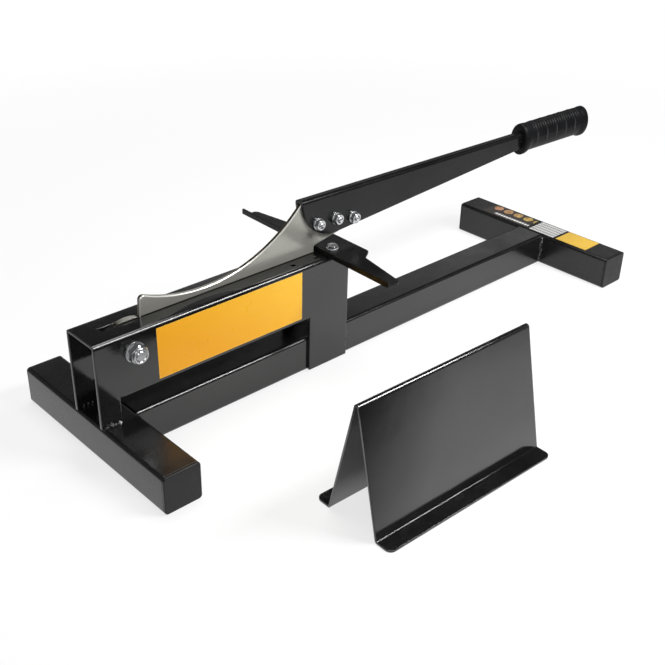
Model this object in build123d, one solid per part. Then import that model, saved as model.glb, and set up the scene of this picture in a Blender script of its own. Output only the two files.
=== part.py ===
from build123d import *
import math
import os

# Laminate flooring cutter. A blade on a long lever swings about a pivot at the front of a folded
# steel housing, down through a slot in the housing's top. That top is the table that the plank lies
# on. The housing stands on a welded frame of square tube. A swivelling fence sets the angle of the
# cut, and a loose folded stand carries the plank's far end at the height of the table.
#
# Sizes are in millimetres and degrees. X runs from the pivot end to the grip, Y across the frame and
# Z up from the floor. Places along X are counted from the frame's front face. The finished pieces
# are moved so that the origin is on the floor, under the middle of the frame.

# Frame of square tube
TUBE_SIZE = 38.0
TUBE_WALL = 2.0
TUBE_INNER_BEND = 1.5
FRAME_LENGTH = 672.0
FOOT_LENGTH = 228.0

# Plastic caps in the ends of the feet
CAP_RIM = 3.0
CAP_EDGE_ROUND = 1.0
CAP_PLUG_DEPTH = 12.0
CAP_PLUG_WALL = 2.0
CAP_CLEARANCE = 0.1

# Folded housing with the table on top
HOUSING_SHEET = 3.0
HOUSING_INNER_BEND = 1.0
HOUSING_RISE = 83.5
FRONT_LEG_WIDTH = 20.7
WINDOW_HEIGHT = 24.8
REAR_LEG_WIDTH = 51.2
REAR_LEG_LIFT = 1.0
HOUSING_TAIL = 12.5
SLOT_SIDE_GAP = 0.75
SLOT_END_GAP = 1.8

# Blade, described as it lies when closed
BLADE_THICKNESS = 5.0
NOSE_RADIUS = 19.0
NOSE_TOP_ANGLE = 125.0
CREST_OFFSET = 3.5
CREST_RISE = 2.0
HORN_REACH = 21.7
HORN_STEP = 1.4
HORN_TIP_ROUND = 4.0
BACK_RADIUS = 162.8
BACK_LOW_REACH = 91.4
BACK_LOW_RISE = 5.6
BACK_CHAMFER = 1.0
EDGE_MATCH = 0.1
REAR_REACH = 224.7
ELBOW_RISE = 7.6
ELBOW_ROUND = 3.0
EDGE_REACH = 217.5
EDGE_REAR_DROP = 24.5
BEVEL_HEIGHT = 10.0
BEVEL_EDGE = 0.8
TANG_LENGTH = 79.0
TANG_GAP = 1.0

# Pivot
PIVOT_X = 38.5
PIVOT_DROP = 18.1
PIVOT_DIAMETER = 10.0
PIVOT_HEAD_ACROSS = 16.0
PIVOT_HEAD_HEIGHT = 6.4
PIVOT_NUT_HEIGHT = 7.0
PIVOT_COLLAR_DIAMETER = 15.2
PIVOT_COLLAR_HEIGHT = 2.5
PIVOT_COLLAR_ROUND = 0.9
PIVOT_BORE_CHAMFER = 0.7
PIVOT_NUT_TURN = 30.0
PIVOT_END = 0.5
PIVOT_WASHER_DIAMETER = 19.5
PIVOT_WASHER_THICKNESS = 2.0
SPACER_DIAMETER = 16.0
SPACER_GAP = 0.3

# Lever arm, an inverted channel that straddles the blade
ARM_REACH = 207.5
ARM_RISE = 59.5
ARM_SHEET = 3.0
ARM_BEND = 3.8
ARM_LENGTH = 444.0
ARM_FRONT_HEIGHT = 46.8
ARM_TAIL_HEIGHT = 18.1
ARM_NOSE_FLAT = 1.3
ARM_FALL = 0.87

# Bolts through the arm and the blade's tang, each placed back from the arm's front and down from
# its top edge
ARM_BOLT_PLACES = ((19.25, 27.5), (43.95, 27.9), (67.6, 32.6))
ARM_BOLT_DIAMETER = 6.0
ARM_BOLT_ACROSS = 10.0
ARM_BOLT_HEAD_HEIGHT = 4.0
ARM_NUT_HEIGHT = 5.0
ARM_BOLT_END = 1.6
ARM_WASHER_DIAMETER = 12.0
ARM_WASHER_THICKNESS = 1.6

# Rubber grip, oval across, with ribs that start at a share of its half height
GRIP_LENGTH = 124.5
GRIP_HALF_WIDTH = 11.1
GRIP_HALF_HEIGHT = 17.1
GRIP_LIFT = 1.4
GRIP_ENGAGEMENT = 103.0
GRIP_CLEARANCE = 0.2
FLANGE_HALF_WIDTH = 12.7
FLANGE_HALF_HEIGHT = 18.6
FLANGE_DROP = 1.0
FLANGE_LENGTH = 6.0
FLANGE_SLOPE = 9.0
FLANGE_ROUND = 3.0
RIB_BAYS = 6
RIB_BAY_LENGTH = 18.6
RIB_BAY_START = 4.1
RIBS_PER_BAY = 4
TALL_RIB_WIDTH = 2.4
TALL_RIB_HEIGHT = 0.8
TALL_RIB_FOOT = -0.37
FINE_RIB_WIDTH = 1.4
FINE_RIB_HEIGHT = 0.4
FINE_RIB_FOOT = 0.6

# Swivelling fence
FENCE_SETBACK = 1.4
FENCE_SHEET = 2.0
FENCE_UPSTAND = 5.6
FENCE_NEAR_REACH = 106.0
FENCE_FAR_REACH = 112.0
FENCE_UPSTAND_FAR_REACH = 119.0
FENCE_ROOT_HALF_WIDTH = 35.8
FENCE_NEAR_ROOT_DEPTH = 26.3
FENCE_NEAR_END_DEPTH = 16.1
FENCE_FAR_ROOT_DEPTH = 29.4
FENCE_FAR_END_DEPTH = 13.3
FENCE_TAB_DEPTH = 39.5
FENCE_TAB_HALF_WIDTH = 26.8
FENCE_TAB_ROUND = 5.0
FENCE_ROOT_ROUND = 2.5
FENCE_END_ROUND = 5.0
FENCE_GAP = 0.05
FENCE_TURN = -1.4

# Fence bolt
FENCE_BOLT_SETBACK = 14.6
FENCE_BOLT_NEAR = 11.2
FENCE_BOLT_DIAMETER = 6.0
FENCE_BOLT_ACROSS = 10.0
FENCE_BOLT_HEAD_HEIGHT = 3.0
FENCE_NUT_HEIGHT = 5.0
FENCE_BOLT_END = 2.0
FENCE_WASHER_DIAMETER = 12.5
FENCE_WASHER_THICKNESS = 1.0
INDEX_HOLE_DIAMETER = 5.0
INDEX_HOLE_STEP = 52.2

# Loose support stand
STAND_SHEET = 2.0
STAND_SLACK = 1.6
STAND_LENGTH = 204.0
STAND_HALF_SPREAD = 28.8
STAND_FLANGE = 17.0
STAND_RIDGE_BEND = 2.0
STAND_FOOT_BEND = 2.0
STAND_CORNER_ROUND = 6.0
STAND_START_X = 108.4
STAND_DISTANCE = 224.6
STAND_YAW = -1.8

# Label on the housing and stickers on the rear foot
LABEL_LENGTH = 169.0
LABEL_HEIGHT = 51.5
LABEL_START = 62.0
LABEL_LIFT = 2.7
LABEL_THICKNESS = 0.3
STICKER_INSET = 4.0
STICKER_SPANS = ((-80.5, -36.5), (-32.5, 4.5), (10.0, 80.0))

# Fits shared by the fasteners
RUNNING_CLEARANCE = 0.05
BOLT_CLEARANCE = 0.2
THREAD_CLEARANCE = 0.05
TIP_CHAMFER = 0.8

# Levels and places that follow from the sizes above
TUBE_CORNER = TUBE_INNER_BEND + TUBE_WALL
TUBE_INSIDE = TUBE_SIZE - 2 * TUBE_WALL
TABLE = TUBE_SIZE + HOUSING_RISE
WINDOW_TOP = TUBE_SIZE + WINDOW_HEIGHT
HOUSING_HALF = TUBE_SIZE / 2 + HOUSING_SHEET
PIVOT_Z = TABLE - PIVOT_DROP
BLADE_HALF = BLADE_THICKNESS / 2
BLADE_REAR = PIVOT_X + REAR_REACH
SLOT_START = PIVOT_X - NOSE_RADIUS
SLOT_END = BLADE_REAR + SLOT_END_GAP
FENCE_FRONT = SLOT_END + FENCE_SETBACK
FENCE_BOLT_X = FENCE_FRONT + FENCE_BOLT_SETBACK
HOUSING_LENGTH = FENCE_BOLT_X + HOUSING_TAIL
WINDOW_END = HOUSING_LENGTH - REAR_LEG_WIDTH
ARM_FRONT = PIVOT_X + ARM_REACH
ARM_TOP = TABLE + ARM_RISE
ARM_END = ARM_FRONT + ARM_LENGTH
ARM_HALF = BLADE_HALF + ARM_SHEET
GRIP_START = ARM_END - GRIP_ENGAGEMENT
FENCE_BASE = TABLE + FENCE_GAP
STAND_HEIGHT = TABLE - STAND_SLACK


def arm_top(x):
    """Height of the arm's top edge, which falls slightly towards the grip."""
    return ARM_TOP - (x - ARM_FRONT) * math.tan(math.radians(ARM_FALL))


def arm_bottom(x):
    """Height of the arm's lower edge, which tapers as far as the grip."""
    share = (x - ARM_FRONT) / (GRIP_START - ARM_FRONT)
    return arm_top(x) - ARM_FRONT_HEIGHT - share * (ARM_TAIL_HEIGHT - ARM_FRONT_HEIGHT)


def upright(outline, half_width):
    """Plate that stands along the frame, from an outline in X and Z, equal to both sides."""
    return extrude(Plane.XZ * outline, half_width, both=True)


def round_corners(face, rounds):
    """Face with a radius on each corner that is named by its place."""
    for corner, radius in rounds:
        face = fillet(face.vertices().sort_by_distance(Vector(*corner))[0], radius)
    return face


def block(x_span, y_span, z_span):
    """Box between two limits on each axis."""
    sizes = [high - low for low, high in (x_span, y_span, z_span)]
    middle = [(low + high) / 2 for low, high in (x_span, y_span, z_span)]
    return Pos(*middle) * Box(*sizes)


def rod(diameter, low, high):
    """Cylinder along the local Z axis."""
    return Pos(0, 0, (low + high) / 2) * Cylinder(diameter / 2, high - low)


def crowned_hexagon(across, height):
    """Hexagonal prism that rises from the local XY plane, with its top corners taken off."""
    outline = RegularPolygon(across / 2, 6, major_radius=False)
    corner = across / 2 / math.cos(math.pi / 6)
    crown = chamfer(rod(2 * corner, 0, height).edges().sort_by(Axis.Z)[-1], TIP_CHAMFER)
    return extrude(outline, height) & crown


def hex_bolt(diameter, across, head_height, length):
    """Bolt with its head below the local XY plane and its shank above."""
    shank = chamfer(rod(diameter, 0, length).edges().sort_by(Axis.Z)[-1], TIP_CHAMFER)
    return Rot(180, 0, 0) * crowned_hexagon(across, head_height) + shank


def hex_nut(diameter, across, height):
    """Nut that rises from the local XY plane, bored to slide over its bolt."""
    return crowned_hexagon(across, height) - rod(diameter + 2 * THREAD_CLEARANCE, 0, height)


def washer(diameter, hole, thickness):
    """Flat ring that rises from the local XY plane."""
    return rod(diameter, 0, thickness) - rod(hole, 0, thickness)


def across_frame(x, z, y=0):
    """Place whose local Z axis points to the near side, against Y."""
    return Pos(x, y, z) * Rot(90, 0, 0)


def square_tube(length):
    """Hollow square tube along the local Z axis, centred on the origin."""
    section = RectangleRounded(TUBE_SIZE, TUBE_SIZE, TUBE_CORNER)
    section -= RectangleRounded(TUBE_INSIDE, TUBE_INSIDE, TUBE_INNER_BEND)
    return extrude(section, length / 2, both=True)


def foot(x):
    """Cross tube of the frame, open for a cap at each end."""
    return across_frame(x, TUBE_SIZE / 2) * square_tube(FOOT_LENGTH - 2 * CAP_RIM)


def main_beam():
    """Tube along the frame between the two feet."""
    place = Pos(FRAME_LENGTH / 2, 0, TUBE_SIZE / 2) * Rot(0, 90, 0)
    return place * square_tube(FRAME_LENGTH - 2 * TUBE_SIZE)


def end_cap(x, turn):
    """Cap whose rim closes a foot's end and whose hollow plug sits inside the tube."""
    rim = extrude(RectangleRounded(TUBE_SIZE, TUBE_SIZE, TUBE_CORNER), CAP_RIM)
    rim = fillet(rim.faces().sort_by(Axis.Z)[-1].edges(), CAP_EDGE_ROUND)
    plug_size = TUBE_INSIDE - 2 * CAP_CLEARANCE
    plug = RectangleRounded(plug_size, plug_size, TUBE_INNER_BEND)
    plug -= Rectangle(plug_size - 2 * CAP_PLUG_WALL, plug_size - 2 * CAP_PLUG_WALL)
    cap = rim + extrude(plug, -CAP_PLUG_DEPTH)
    outward = Pos(0, 0, FOOT_LENGTH / 2 - CAP_RIM) * cap
    return across_frame(x, TUBE_SIZE / 2) * Rot(turn, 0, 0) * outward


def blade_housing():
    """Inverted channel with the table on top, a window in each wall and the blade's slot."""
    outer_bend = HOUSING_INNER_BEND + HOUSING_SHEET
    height = TABLE - REAR_LEG_LIFT
    outside = Pos(0, REAR_LEG_LIFT + height / 2) * Rectangle(2 * HOUSING_HALF, height)
    outside = fillet(outside.vertices().group_by(Axis.Y)[-1], outer_bend)
    inside = Pos(0, (TABLE - HOUSING_SHEET) / 2) * Rectangle(TUBE_SIZE, TABLE - HOUSING_SHEET)
    inside = fillet(inside.vertices().group_by(Axis.Y)[-1], HOUSING_INNER_BEND)
    housing = extrude(Plane.YZ * (outside - inside), HOUSING_LENGTH)

    full_width = (-2 * HOUSING_HALF, 2 * HOUSING_HALF)
    housing -= block((0, FRONT_LEG_WIDTH), full_width, (0, TUBE_SIZE))
    housing -= block((FRONT_LEG_WIDTH, WINDOW_END), full_width, (0, WINDOW_TOP))
    slot_half = BLADE_HALF + SLOT_SIDE_GAP
    housing -= block((SLOT_START, SLOT_END), (-slot_half, slot_half), (PIVOT_Z, TABLE))
    pivot_hole = rod(PIVOT_DIAMETER + 2 * BOLT_CLEARANCE, -HOUSING_HALF, HOUSING_HALF)
    housing -= across_frame(PIVOT_X, PIVOT_Z) * pivot_hole
    bolt_hole = rod(FENCE_BOLT_DIAMETER + 2 * BOLT_CLEARANCE, PIVOT_Z, TABLE)
    housing -= Pos(FENCE_BOLT_X, -FENCE_BOLT_NEAR) * bolt_hole
    index_hole = rod(INDEX_HOLE_DIAMETER, PIVOT_Z, TABLE)
    housing -= Pos(FENCE_BOLT_X - INDEX_HOLE_STEP, -FENCE_BOLT_NEAR) * index_hole
    return housing


def blade_outline():
    """Outline of the blade in X and Z: nose, horn, hollow back, tang, elbow and cutting edge."""
    back_x = PIVOT_X + BACK_LOW_REACH
    back_low = TABLE + BACK_LOW_RISE
    back_centre = back_low + BACK_RADIUS
    horn_x = PIVOT_X + HORN_REACH
    tang_end = ARM_FRONT + TANG_LENGTH
    shoulder_z = ARM_TOP - ARM_SHEET - TANG_GAP
    shoulder_x = back_x + math.sqrt(BACK_RADIUS**2 - (back_centre - shoulder_z) ** 2)
    nose_angle = math.radians(NOSE_TOP_ANGLE)

    nose_bottom = (PIVOT_X, PIVOT_Z - NOSE_RADIUS)
    nose_front = (PIVOT_X - NOSE_RADIUS, PIVOT_Z)
    nose_top = (PIVOT_X + NOSE_RADIUS * math.cos(nose_angle), PIVOT_Z + NOSE_RADIUS * math.sin(nose_angle))
    crest = (PIVOT_X + CREST_OFFSET, TABLE + CREST_RISE)
    horn_root = (horn_x - HORN_STEP, TABLE)
    horn_tip = (horn_x, back_centre - math.sqrt(BACK_RADIUS**2 - (back_x - horn_x) ** 2))
    shoulder = (shoulder_x, shoulder_z)
    tang_top = (tang_end, arm_top(tang_end) - ARM_SHEET - TANG_GAP)
    tang_bottom = (tang_end, arm_bottom(tang_end) + TANG_GAP)
    elbow = (BLADE_REAR, TABLE + ELBOW_RISE)
    table_rear = (BLADE_REAR, TABLE)
    edge_rear = (PIVOT_X + EDGE_REACH, TABLE - EDGE_REAR_DROP)

    outline = ThreePointArc(nose_bottom, nose_front, nose_top)
    outline += ThreePointArc(nose_top, crest, horn_root)
    outline += Line(horn_root, horn_tip)
    outline += ThreePointArc(horn_tip, (back_x, back_low), shoulder)
    outline += Polyline(shoulder, tang_top, tang_bottom, elbow, table_rear, edge_rear, nose_bottom)
    return round_corners(make_face(outline), ((horn_tip, HORN_TIP_ROUND), (elbow, ELBOW_ROUND)))


def is_horn_front(edge):
    """True for a straight edge that climbs from the table to the horn's tip."""
    middle = edge.center()
    near_horn = abs(middle.X - PIVOT_X - HORN_REACH) < HORN_TIP_ROUND
    return near_horn and middle.Z > TABLE and abs(edge.tangent_at(0.5).Z) > abs(edge.tangent_at(0.5).Y)


def blade():
    """Blade plate with its holes, a softened back and horn and a bevel ground on both sides of the edge."""
    plate = upright(blade_outline(), BLADE_HALF)
    round_edges = plate.edges().filter_by(GeomType.CIRCLE)
    softened = [e for e in plate.edges().filter_by(GeomType.LINE) if is_horn_front(e)]
    for radius in (BACK_RADIUS, HORN_TIP_ROUND):
        softened += [e for e in round_edges if abs(e.radius - radius) < EDGE_MATCH and e.center().Z > TABLE]
    plate = chamfer(ShapeList(softened), BACK_CHAMFER)
    start = Vector(PIVOT_X, 0, PIVOT_Z - NOSE_RADIUS)
    end = Vector(PIVOT_X + EDGE_REACH, 0, TABLE - EDGE_REAR_DROP)
    along_edge = Plane(origin=start, x_dir=(0, 1, 0), z_dir=end - start)
    for side in (-1, 1):
        ground = Polygon(
            (side * BLADE_HALF, BEVEL_HEIGHT),
            (side * BEVEL_EDGE / 2, 0),
            (side * BEVEL_EDGE / 2, -BEVEL_HEIGHT),
            (side * BLADE_THICKNESS, -BEVEL_HEIGHT),
            (side * BLADE_THICKNESS, BEVEL_HEIGHT),
            align=None,
        )
        plate -= extrude(along_edge * ground, (end - start).length + BEVEL_HEIGHT)
    pivot_hole = rod(PIVOT_DIAMETER + 2 * RUNNING_CLEARANCE, -BLADE_THICKNESS, BLADE_THICKNESS)
    plate -= across_frame(PIVOT_X, PIVOT_Z) * pivot_hole
    return plate - arm_bolt_holes()


def arm_bolt_points():
    """Places of the arm's bolts in X and Z."""
    return [(ARM_FRONT + back, arm_top(ARM_FRONT + back) - down) for back, down in ARM_BOLT_PLACES]


def arm_bolt_holes():
    """Clearance holes for the arm's bolts, as one tool."""
    hole = rod(ARM_BOLT_DIAMETER + 2 * BOLT_CLEARANCE, -2 * ARM_HALF, 2 * ARM_HALF)
    return [across_frame(x, z) * hole for x, z in arm_bolt_points()]


def handle_arm():
    """Channel with a quarter-round nose, tapering to the tail inside the grip."""
    corner = (ARM_FRONT, arm_bottom(ARM_FRONT))
    taper = math.atan2(arm_bottom(GRIP_START) - arm_bottom(ARM_FRONT), GRIP_START - ARM_FRONT)
    nose_radius = (ARM_FRONT_HEIGHT - ARM_NOSE_FLAT) * math.tan((math.pi / 2 - taper) / 2)
    outline = make_face(
        Polyline(
            corner,
            (ARM_FRONT, arm_top(ARM_FRONT)),
            (ARM_END, arm_top(ARM_END)),
            (ARM_END, arm_top(ARM_END) - ARM_TAIL_HEIGHT),
            (GRIP_START, arm_bottom(GRIP_START)),
            close=True,
        )
    )
    nose = outline.vertices().sort_by_distance(Vector(*corner))[0]
    arm = upright(fillet(nose, nose_radius), ARM_HALF)
    long_edges = [edge for edge in arm.edges() if edge.length > ARM_LENGTH - ARM_SHEET]
    arm = fillet(ShapeList(long_edges), ARM_BEND)
    front = ARM_FRONT - ARM_FRONT_HEIGHT
    back = ARM_END + ARM_FRONT_HEIGHT
    channel = make_face(
        Polyline(
            (front, arm_top(front) - ARM_SHEET),
            (back, arm_top(back) - ARM_SHEET),
            (back, 0),
            (front, 0),
            close=True,
        )
    )
    return arm - upright(channel, BLADE_HALF) - arm_bolt_holes()


def grip_oval(x, half_width, half_height, drop=0):
    """Oval across the grip, at a place along it."""
    return Plane.YZ.offset(x) * Pos(0, -drop) * Ellipse(half_width, half_height)


def grip_flange():
    """Rounded flange at the grip's start, with a slope down to the body."""
    outer = grip_oval(0, FLANGE_HALF_WIDTH, FLANGE_HALF_HEIGHT, FLANGE_DROP)
    inner = grip_oval(FLANGE_LENGTH, FLANGE_HALF_WIDTH, FLANGE_HALF_HEIGHT, FLANGE_DROP)
    body = grip_oval(FLANGE_LENGTH + FLANGE_SLOPE, GRIP_HALF_WIDTH, GRIP_HALF_HEIGHT)
    flange = extrude(outer, FLANGE_LENGTH)
    flange = fillet(flange.edges().sort_by(Axis.X)[0], FLANGE_ROUND)
    return flange + loft([inner, body])


def grip_rib(width, height, foot):
    """Rib over the top of the grip, which ends on each side at its foot."""
    outside = grip_oval(0, GRIP_HALF_WIDTH + height, GRIP_HALF_HEIGHT + height)
    inside = grip_oval(0, GRIP_HALF_WIDTH - height, GRIP_HALF_HEIGHT - height)
    ring = extrude(outside - inside, width / 2, both=True)
    upper = Box(2 * width, 4 * GRIP_HALF_WIDTH, 2 * GRIP_HALF_HEIGHT)
    return ring & Pos(0, 0, (1 + foot) * GRIP_HALF_HEIGHT) * upper


def handle_grip():
    """Rubber grip with a flange at each end, tall and fine ribs and a pocket for the arm."""
    inner = FLANGE_LENGTH + FLANGE_SLOPE
    flange = grip_flange()
    grip = extrude(grip_oval(inner, GRIP_HALF_WIDTH, GRIP_HALF_HEIGHT), GRIP_LENGTH - 2 * inner)
    grip += flange
    grip += mirror(flange, Plane.YZ.offset(GRIP_LENGTH / 2))
    tall = grip_rib(TALL_RIB_WIDTH, TALL_RIB_HEIGHT, TALL_RIB_FOOT)
    fine = grip_rib(FINE_RIB_WIDTH, FINE_RIB_HEIGHT, FINE_RIB_FOOT)
    for rib in range(1, RIB_BAYS * RIBS_PER_BAY):
        place = RIB_BAY_START + rib * RIB_BAY_LENGTH / RIBS_PER_BAY
        if inner < place < GRIP_LENGTH - inner:
            grip += Pos(place, 0, 0) * (fine if rib % RIBS_PER_BAY else tall)
    pocket_depth = GRIP_ENGAGEMENT + 2 * GRIP_CLEARANCE
    pocket = Box(
        2 * pocket_depth,
        2 * (ARM_HALF + GRIP_CLEARANCE),
        ARM_TAIL_HEIGHT + 2 * GRIP_CLEARANCE,
    )
    grip -= Pos(0, 0, -GRIP_LIFT) * pocket
    middle = arm_top(GRIP_START) - ARM_TAIL_HEIGHT / 2 + GRIP_LIFT
    return Pos(GRIP_START, 0, middle) * Rot(0, ARM_FALL, 0) * grip


def handle_bolts():
    """Bolts with their heads on the far side of the arm."""
    length = 2 * ARM_HALF + ARM_WASHER_THICKNESS + ARM_NUT_HEIGHT + ARM_BOLT_END
    bolt = hex_bolt(ARM_BOLT_DIAMETER, ARM_BOLT_ACROSS, ARM_BOLT_HEAD_HEIGHT, length)
    return [across_frame(x, z, ARM_HALF) * bolt for x, z in arm_bolt_points()]


def handle_washers():
    """Washers on the near side of the arm."""
    hole = ARM_BOLT_DIAMETER + 2 * BOLT_CLEARANCE
    ring = washer(ARM_WASHER_DIAMETER, hole, ARM_WASHER_THICKNESS)
    return [across_frame(x, z, -ARM_HALF) * ring for x, z in arm_bolt_points()]


def handle_nuts():
    """Nuts on the near side of the arm, outside their washers."""
    nut = hex_nut(ARM_BOLT_DIAMETER, ARM_BOLT_ACROSS, ARM_NUT_HEIGHT)
    seat = -ARM_HALF - ARM_WASHER_THICKNESS
    return [across_frame(x, z, seat) * nut for x, z in arm_bolt_points()]


def pivot_bolt():
    """Bolt that carries the blade, with its head on the far side of the housing."""
    seat = HOUSING_HALF + PIVOT_WASHER_THICKNESS
    length = 2 * seat + PIVOT_NUT_HEIGHT + PIVOT_COLLAR_HEIGHT + PIVOT_END
    bolt = hex_bolt(PIVOT_DIAMETER, PIVOT_HEAD_ACROSS, PIVOT_HEAD_HEIGHT, length)
    return across_frame(PIVOT_X, PIVOT_Z, seat) * bolt


def pivot_nut():
    """Lock nut with a round collar, on the near side, with one corner up."""
    top = PIVOT_NUT_HEIGHT + PIVOT_COLLAR_HEIGHT
    collar = rod(PIVOT_COLLAR_DIAMETER, 0, top)
    collar = fillet(collar.edges().sort_by(Axis.Z)[-1], PIVOT_COLLAR_ROUND)
    nut = crowned_hexagon(PIVOT_HEAD_ACROSS, PIVOT_NUT_HEIGHT) + collar
    nut -= rod(PIVOT_DIAMETER + 2 * THREAD_CLEARANCE, 0, top)
    mouth = nut.edges().filter_by(GeomType.CIRCLE).group_by(Axis.Z)[-1].sort_by(SortBy.RADIUS)[0]
    nut = Rot(0, 0, PIVOT_NUT_TURN) * chamfer(mouth, PIVOT_BORE_CHAMFER)
    return across_frame(PIVOT_X, PIVOT_Z, -HOUSING_HALF - PIVOT_WASHER_THICKNESS) * nut


def pivot_washers():
    """Washer against each wall of the housing."""
    hole = PIVOT_DIAMETER + 2 * BOLT_CLEARANCE
    ring = washer(PIVOT_WASHER_DIAMETER, hole, PIVOT_WASHER_THICKNESS)
    seats = (-HOUSING_HALF, HOUSING_HALF + PIVOT_WASHER_THICKNESS)
    return [across_frame(PIVOT_X, PIVOT_Z, seat) * ring for seat in seats]


def pivot_spacers():
    """Tube on each side of the blade, which keeps it in line with the slot."""
    length = TUBE_SIZE / 2 - BLADE_HALF - SPACER_GAP
    tube = washer(SPACER_DIAMETER, PIVOT_DIAMETER + 2 * THREAD_CLEARANCE, length)
    seats = (-BLADE_HALF - SPACER_GAP, TUBE_SIZE / 2)
    return [across_frame(PIVOT_X, PIVOT_Z, seat) * tube for seat in seats]


def fence():
    """Angle-section fence with a wide tab behind the bolt, turned a little on the bolt."""
    front = FENCE_FRONT
    tab = front + FENCE_TAB_DEPTH
    near_end = (front + FENCE_NEAR_END_DEPTH, -FENCE_NEAR_REACH)
    near_root = (front + FENCE_NEAR_ROOT_DEPTH, -FENCE_BOLT_NEAR - FENCE_ROOT_HALF_WIDTH)
    near_tab = (tab, -FENCE_BOLT_NEAR - FENCE_TAB_HALF_WIDTH)
    far_tab = (tab, -FENCE_BOLT_NEAR + FENCE_TAB_HALF_WIDTH)
    far_root = (front + FENCE_FAR_ROOT_DEPTH, -FENCE_BOLT_NEAR + FENCE_ROOT_HALF_WIDTH)
    far_end = (front + FENCE_FAR_END_DEPTH, FENCE_FAR_REACH)
    outline = make_face(
        Polyline(
            (front, -FENCE_NEAR_REACH),
            near_end,
            near_root,
            near_tab,
            far_tab,
            far_root,
            far_end,
            (front, FENCE_FAR_REACH),
            close=True,
        )
    )
    outline = round_corners(
        outline,
        (
            (near_end, FENCE_END_ROUND),
            (near_root, FENCE_ROOT_ROUND),
            (near_tab, FENCE_TAB_ROUND),
            (far_tab, FENCE_TAB_ROUND),
            (far_root, FENCE_ROOT_ROUND),
            (far_end, FENCE_END_ROUND),
        ),
    )
    plate = Pos(0, 0, FENCE_BASE) * extrude(outline, FENCE_SHEET)
    upstand = block(
        (front, front + FENCE_SHEET),
        (-FENCE_NEAR_REACH, FENCE_UPSTAND_FAR_REACH),
        (FENCE_BASE, FENCE_BASE + FENCE_UPSTAND),
    )
    hole = rod(FENCE_BOLT_DIAMETER + 2 * RUNNING_CLEARANCE, FENCE_BASE, FENCE_BASE + FENCE_SHEET)
    on_bolt = Pos(FENCE_BOLT_X, -FENCE_BOLT_NEAR)
    turned = on_bolt * Rot(0, 0, FENCE_TURN) * on_bolt.inverse()
    return turned * (plate + upstand - on_bolt * hole)


def fence_washer():
    """Washer between the fence and its bolt's head."""
    hole = FENCE_BOLT_DIAMETER + 2 * BOLT_CLEARANCE
    ring = washer(FENCE_WASHER_DIAMETER, hole, FENCE_WASHER_THICKNESS)
    return Pos(FENCE_BOLT_X, -FENCE_BOLT_NEAR, FENCE_BASE + FENCE_SHEET + FENCE_GAP) * ring


def fence_bolt():
    """Bolt that the fence swivels on, with its head up."""
    seat = FENCE_BASE + FENCE_SHEET + FENCE_GAP + FENCE_WASHER_THICKNESS
    length = seat - TABLE + HOUSING_SHEET + FENCE_NUT_HEIGHT + FENCE_BOLT_END
    bolt = hex_bolt(FENCE_BOLT_DIAMETER, FENCE_BOLT_ACROSS, FENCE_BOLT_HEAD_HEIGHT, length)
    return Pos(FENCE_BOLT_X, -FENCE_BOLT_NEAR, seat) * Rot(180, 0, 0) * bolt


def fence_nut():
    """Nut under the table."""
    nut = hex_nut(FENCE_BOLT_DIAMETER, FENCE_BOLT_ACROSS, FENCE_NUT_HEIGHT)
    return Pos(FENCE_BOLT_X, -FENCE_BOLT_NEAR, TABLE - HOUSING_SHEET) * Rot(180, 0, 0) * nut


def support_stand():
    """Sheet folded to a ridge, with a flange along the floor on each side."""
    floor = STAND_SHEET / 2
    spread = STAND_HALF_SPREAD
    tip = spread + STAND_FLANGE
    rise = STAND_HEIGHT - STAND_SHEET - STAND_RIDGE_BEND
    slope = math.atan2(rise, spread) + math.asin(STAND_RIDGE_BEND / math.hypot(rise, spread))
    apex = floor + spread * math.tan(slope)
    path = FilletPolyline(
        (-tip, floor),
        (-spread, floor),
        (0, apex),
        (spread, floor),
        (tip, floor),
        radius=(STAND_FOOT_BEND, STAND_RIDGE_BEND, STAND_FOOT_BEND),
    )
    stand = extrude(Plane.YZ * trace(path, STAND_SHEET), STAND_LENGTH)
    corners = [e for e in stand.edges().filter_by(Axis.Z) if abs(e.center().Y) > spread]
    stand = fillet(ShapeList(corners), STAND_CORNER_ROUND)
    return Pos(STAND_START_X, -STAND_DISTANCE, 0) * Rot(0, 0, STAND_YAW) * stand


def housing_label():
    """Plain label on the near wall of the housing."""
    bottom = WINDOW_TOP + LABEL_LIFT
    return block(
        (LABEL_START, LABEL_START + LABEL_LENGTH),
        (-HOUSING_HALF - LABEL_THICKNESS, -HOUSING_HALF),
        (bottom, bottom + LABEL_HEIGHT),
    )


def rear_foot_stickers():
    """Plain stickers along the top of the rear foot."""
    front = FRAME_LENGTH - TUBE_SIZE + STICKER_INSET
    rear = FRAME_LENGTH - STICKER_INSET
    return [
        block((front, rear), span, (TUBE_SIZE, TUBE_SIZE + LABEL_THICKNESS)) for span in STICKER_SPANS
    ]


def save(name, shape):
    """Write one piece, or a group of like pieces, in the finished frame."""
    if isinstance(shape, list):
        shape = Compound(shape)
    export_step(Pos(-FRAME_LENGTH / 2, 0, 0) * shape, f"parts/{name}.step")


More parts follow.
